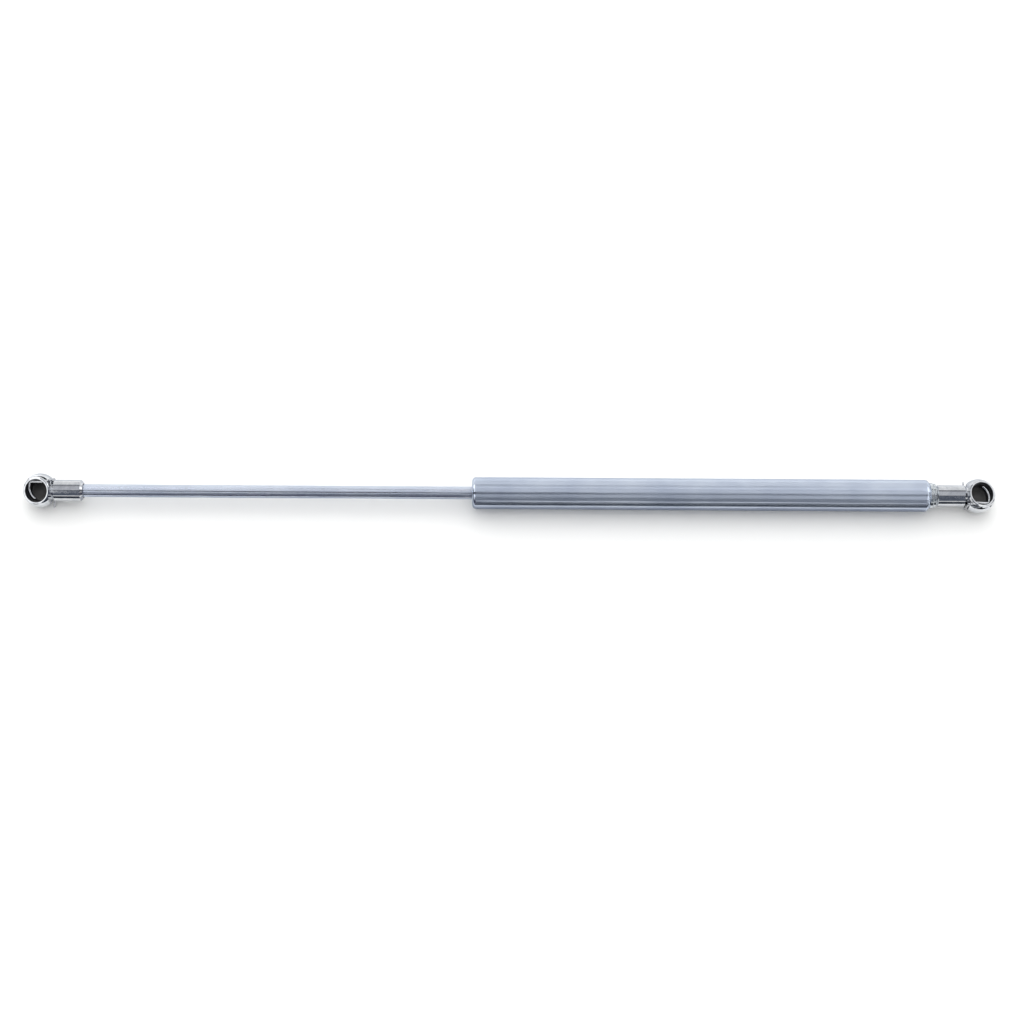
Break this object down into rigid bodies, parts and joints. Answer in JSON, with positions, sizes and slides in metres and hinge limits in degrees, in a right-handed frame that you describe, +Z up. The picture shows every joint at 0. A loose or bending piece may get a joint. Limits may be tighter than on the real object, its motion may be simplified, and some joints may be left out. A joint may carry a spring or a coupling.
{
  "type": "gas strut stay",
  "caption": "Telescoping gas strut stay: round cylinder, sliding polished rod and a ball socket with a wire safety clip at each end.",
  "frame": {"origin": "centre of the ball in the cylinder-end socket", "axes": "+X along the strut from the rod end to the cylinder end; +Z up, the way the socket mouths face when the strut lies down"},
  "size_m": [0.456, 0.0162, 0.0155],
  "materials": {
    "satin_steel": "satin, zinc plated",
    "chrome": "polished, hard chrome",
    "bright_nickel": "bright plated",
    "zinc_plate": "zinc plated",
    "spring_wire": "bright drawn wire",
    "acetal": "moulded, matt",
    "nitrile": "moulded rubber",
    "bronze": "sintered",
    "sintered_iron": "sintered",
    "filled_ptfe": "matt"
  },
  "bodies": {
    "cylinder": {"cylinder_tube": "satin_steel", "rod_guide": "zinc_plate", "guide_bush": "bronze", "rod_seal": "nitrile", "seal_washer": "zinc_plate", "dust_wiper": "nitrile", "end_plug": "zinc_plate", "plug_o_ring": "nitrile", "stud_collar": "zinc_plate", "lock_washer": "zinc_plate", "cylinder_socket": "bright_nickel", "cylinder_ball_seat": "acetal"},
    "piston_slide": {"piston_ring": "filled_ptfe"},
    "rod": {"piston_rod": "chrome", "piston": "sintered_iron", "piston_washer": "zinc_plate", "orifice_disc": "zinc_plate", "rod_socket": "bright_nickel", "rod_ball_seat": "acetal"},
    "rod_clip_wire": {"rod_clip": "spring_wire"},
    "cylinder_clip_wire": {"cylinder_clip": "spring_wire"}
  },
  "joints": [
    {"name": "rod_stroke", "type": "slide", "parent": "cylinder", "child": "piston_slide", "axis": [1, 0, 0], "range_m": [0, 0.17], "stiffness_N_per_m": 20, "springref_m": -0.25},
    {"name": "rod_spin", "type": "hinge", "parent": "piston_slide", "child": "rod", "pos_m": [-0.2, 0, 0], "axis": [1, 0, 0], "continuous": true},
    {"name": "rod_clip_pull", "type": "slide", "parent": "rod", "child": "rod_clip_wire", "axis": [0, 0.9537, 0.3007], "range_m": [0, 0.014]},
    {"name": "cylinder_clip_pull", "type": "slide", "parent": "cylinder", "child": "cylinder_clip_wire", "axis": [0, -1, 0], "range_m": [0, 0.014]}
  ]
}
